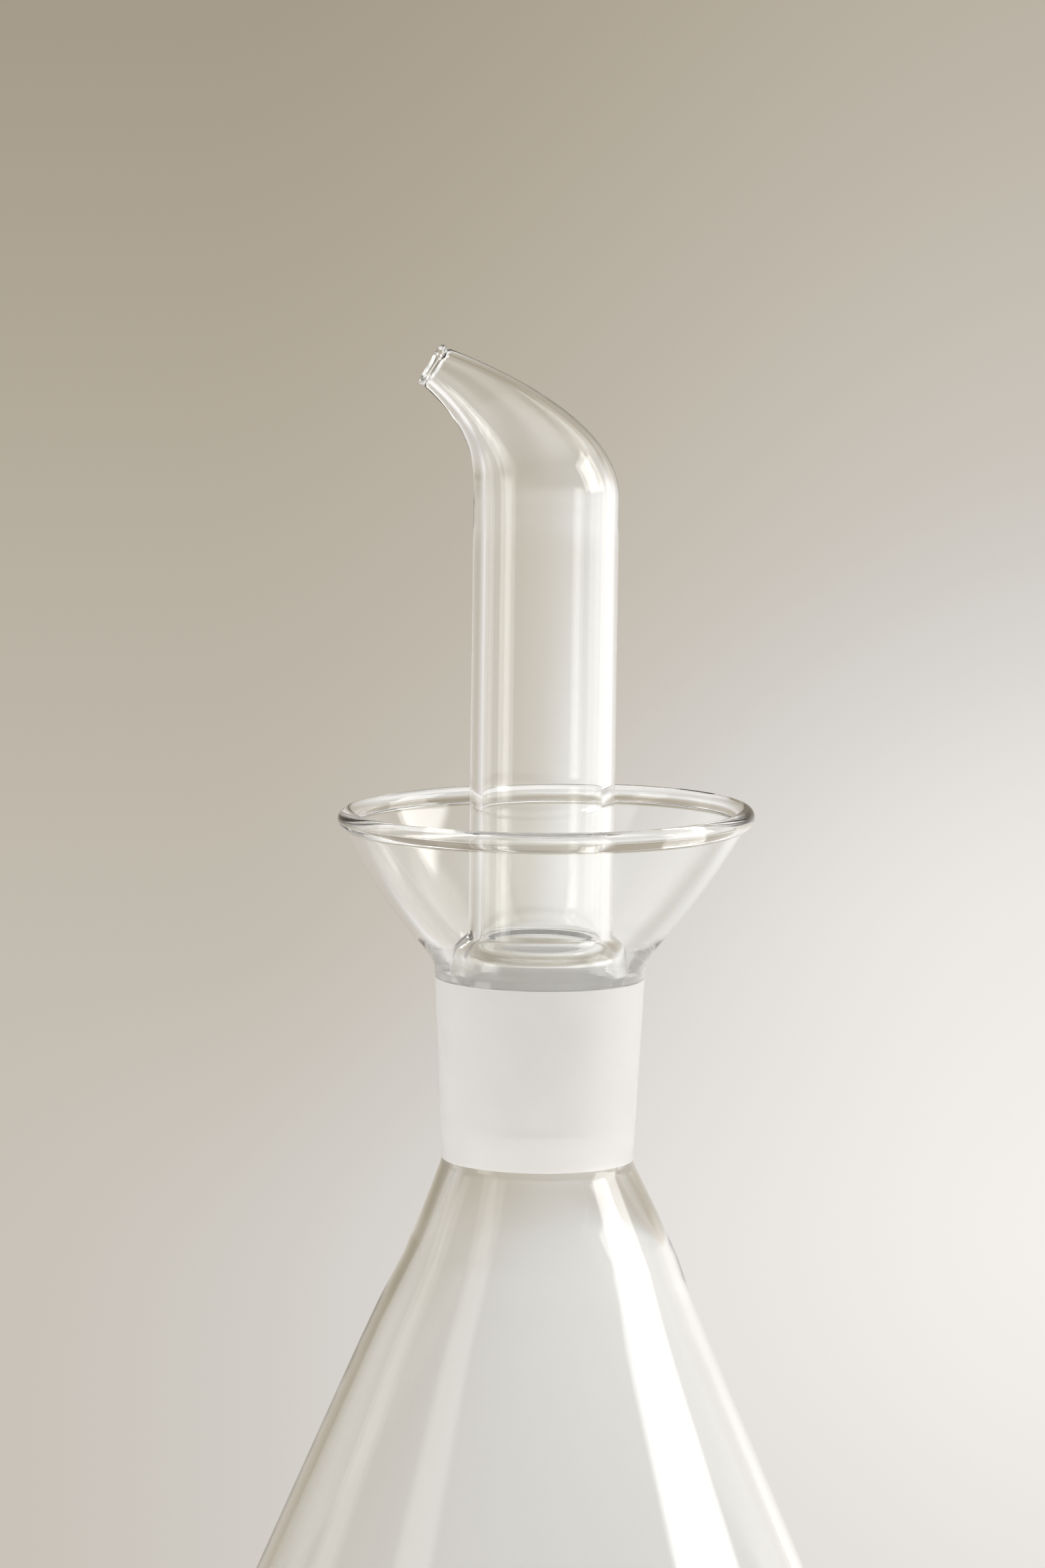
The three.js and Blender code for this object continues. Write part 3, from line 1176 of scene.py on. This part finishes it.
@dataclass(frozen=True)
class Studio:
    """A pale studio: a soft backdrop behind, a plain room round it and a few bright panels.

    The levels and gains are in linear light.
    """

    panels: tuple[Panel, ...] = (
        Panel(90, 23, 32, 32, 5.2, (1.0, 0.995, 0.98), 0.12),
        Panel(90, -3, 34, 22, 0.8, (1.0, 0.995, 0.98), 0.2),
        Panel(137, -6, 50, 30, 0.3, (1.0, 0.99, 0.97), 0.35),
        Panel(-108, 8, 12, 40, 0.7, (1.0, 0.985, 0.95), 0.2),
        Panel(-60, 30, 16, 34, 1.2, (1.0, 0.985, 0.95), 0.25),
        Panel(-66, 0, 20, 26, 2.8, (1.0, 0.985, 0.95), 0.25),
        Panel(118, 40, 30, 24, 1.2, (1.0, 0.995, 0.98), 0.3),
    )

    backdrop_level: float = 0.29
    backdrop_gain: float = 0.25
    right_gain: float = 0.38
    wash_gain: float = 0.145
    pool_gain: float = 0.08
    room_level: float = 0.64
    middle_gain: float = 0.24
    camera_side_gain: float = 0.34
    back_top_loss: float = 0.35
    overhead_gain: float = 1.3
    floor_gain: float = 0.35

    def _backdrop(self, turn: Value, lift: Value) -> Value:
        """The backdrop, which brightens downwards and to the right, with a wash of light at its lower right.

        Args:
            turn: The direction looked in, in degrees from +Y towards +X.
            lift: Its elevation in degrees.

        Returns:
            The backdrop's level.
        """
        downward = self.backdrop_level + self.backdrop_gain * lift.ramp(6.0, -12.5)
        rightward = 1.0 + self.right_gain * turn.ramp(-3.5, 6.0)
        wash = (lift - 0.3 * turn).ramp(-4.2, -9.0) * turn.ramp(-3.0, 5.0) * lift.ramp(-16.5, -10.0)
        pool = turn.ramp(-6.0, -1.0) * turn.ramp(4.0, -1.0) * lift.ramp(-7.5, -11.5)
        return downward * rightward + wash * self.wash_gain + pool * self.pool_gain

    def _room(self, y: Value, lift: Value) -> Value:
        """The room round the object, brighter at middle height and on the camera's side.

        Args:
            y: How far the direction looked in reaches towards +Y, from -1 to 1.
            lift: Its elevation in degrees.

        Returns:
            The room's level.
        """
        middle = lift.ramp(-17.0, -4.0) * lift.ramp(34.0, 8.0)
        gain = self.middle_gain + self.camera_side_gain * y.ramp(-0.35, -0.8)
        return self.room_level + middle * gain

    def build(self) -> None:
        """Makes the world."""
        world = bpy.data.worlds.new("studio")
        bpy.context.scene.world = world
        world.use_nodes = True
        tree = Tree(world.node_tree)
        direction = tree.node("ShaderNodeTexCoord").outputs["Generated"]
        x, y, z = tree.split(direction)
        turn = tree.value(tree.node("ShaderNodeMath", {"operation": "ARCTAN2"}, {0: x, 1: y})) * DEGREES
        lift = tree.value(tree.node("ShaderNodeMath", {"operation": "ARCSINE"}, {0: z})) * DEGREES
        behind = y.ramp(0.55, 0.9)
        level = self._backdrop(turn, lift) * behind + self._room(y, lift) * (1.0 - behind)
        level = level * (1.0 - self.back_top_loss * lift.ramp(14.0, 45.0) * y.ramp(-0.2, 0.3))
        level = level + self.overhead_gain * lift.ramp(42.0, 60.0) * y.ramp(0.15, -0.15)
        level = level + self.floor_gain * lift.ramp(-21.0, -33.0) * x.ramp(0.5, -0.3)
        tone = tree.mixed(level.ramp(0.27, 0.74), coloured(1.14, 1.0, 0.77), coloured(1.03, 1.0, 0.965))
        colour = tree.mixed(1.0, tone, tree.joined(level, level, level), "MULTIPLY")
        for panel in self.panels:
            glow = panel.mask(tree, direction) * panel.strength
            shone = tree.mixed(1.0, coloured(*panel.tone), tree.joined(glow, glow, glow), "MULTIPLY")
            colour = tree.mixed(1.0, colour, shone, "ADD")
        background = tree.node("ShaderNodeBackground", sockets={"Color": colour, "Strength": 1.0})
        tree.node("ShaderNodeOutputWorld", sockets={"Surface": background.outputs[0]})


@dataclass(frozen=True)
class Table:
    """The pale table that the cruet stands on."""

    radius: float = 0.25
    steps: int = 96
    gap: float = 0.1 * MM

    def build(self) -> bpy.types.Object:
        """Makes the table top.

        Returns:
            The table.
        """
        made = bmesh.new()
        bmesh.ops.create_circle(
            made, cap_ends=True, cap_tris=True, segments=self.steps, radius=self.radius
        )
        bmesh.ops.translate(made, vec=(0.0, 0.0, -self.gap), verts=made.verts)
        mesh = bpy.data.meshes.new("table")
        made.to_mesh(mesh)
        made.free()
        mesh.materials.append(PaleTable().make())
        top = bpy.data.objects.new("table", mesh)
        bpy.context.scene.collection.objects.link(top)
        return top


@dataclass(frozen=True)
class Viewpoint:
    """Where the camera stands, and what it looks at."""

    lens: float = 132.0
    distance: float = 0.95
    pitch: float = 6.3
    roll: float = 0.76
    target: tuple[float, float, float] = (-0.0033, 0.0, 0.1665)

    def build(self) -> bpy.types.Object:
        """Makes the scene's camera."""
        data = bpy.data.cameras.new("camera")
        data.lens = self.lens
        data.sensor_width = 36.0
        data.clip_start = 0.01
        camera = bpy.data.objects.new("camera", data)
        pitch = math.radians(self.pitch)
        back = Vector((0.0, -math.cos(pitch), math.sin(pitch)))
        upright = Matrix.Rotation(math.pi / 2 - pitch, 4, "X")
        tilt = upright @ Matrix.Rotation(math.radians(self.roll), 4, "Z")
        camera.matrix_world = Matrix.Translation(Vector(self.target) + back * self.distance) @ tilt
        bpy.context.scene.collection.objects.link(camera)
        bpy.context.scene.camera = camera
        return camera


def set_light_paths() -> None:
    """Lets light through many walls of glass, and shows colours as they are."""
    scene = bpy.context.scene
    scene.view_settings.view_transform = "Standard"
    scene.view_settings.look = "None"
    scene.cycles.max_bounces = 32
    scene.cycles.transmission_bounces = 32
    scene.cycles.glossy_bounces = 16
    scene.cycles.diffuse_bounces = 4
    scene.cycles.transparent_max_bounces = 16
    scene.cycles.caustics_reflective = True
    scene.cycles.caustics_refractive = True


def main() -> None:
    """Builds the cruet and its studio in order, and reports each piece."""
    logging.basicConfig(level=logging.INFO, format="%(name)s: %(message)s")
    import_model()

    Viewpoint().build()
    Studio().build()
    Table().build()
    set_light_paths()

    materials = {
        Finish.CLEAR: ClearGlass().make(),
        Finish.GROUND: GroundGlass().make(),
        Finish.SATIN: GroundGlass(name="satin_glass", roughness=0.65, clearness=0.5).make(),
    }
    taper = Taper()
    flask = Flask(taper).build(materials)
    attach(flask, "flask")
    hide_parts("flask_body", "ground_socket", "drip_funnel")

    stopper = Stopper(taper).build(materials)
    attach(stopper, "stopper")
    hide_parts("stopper_cone", "pouring_spout")


if __name__ == "__main__":
    main()
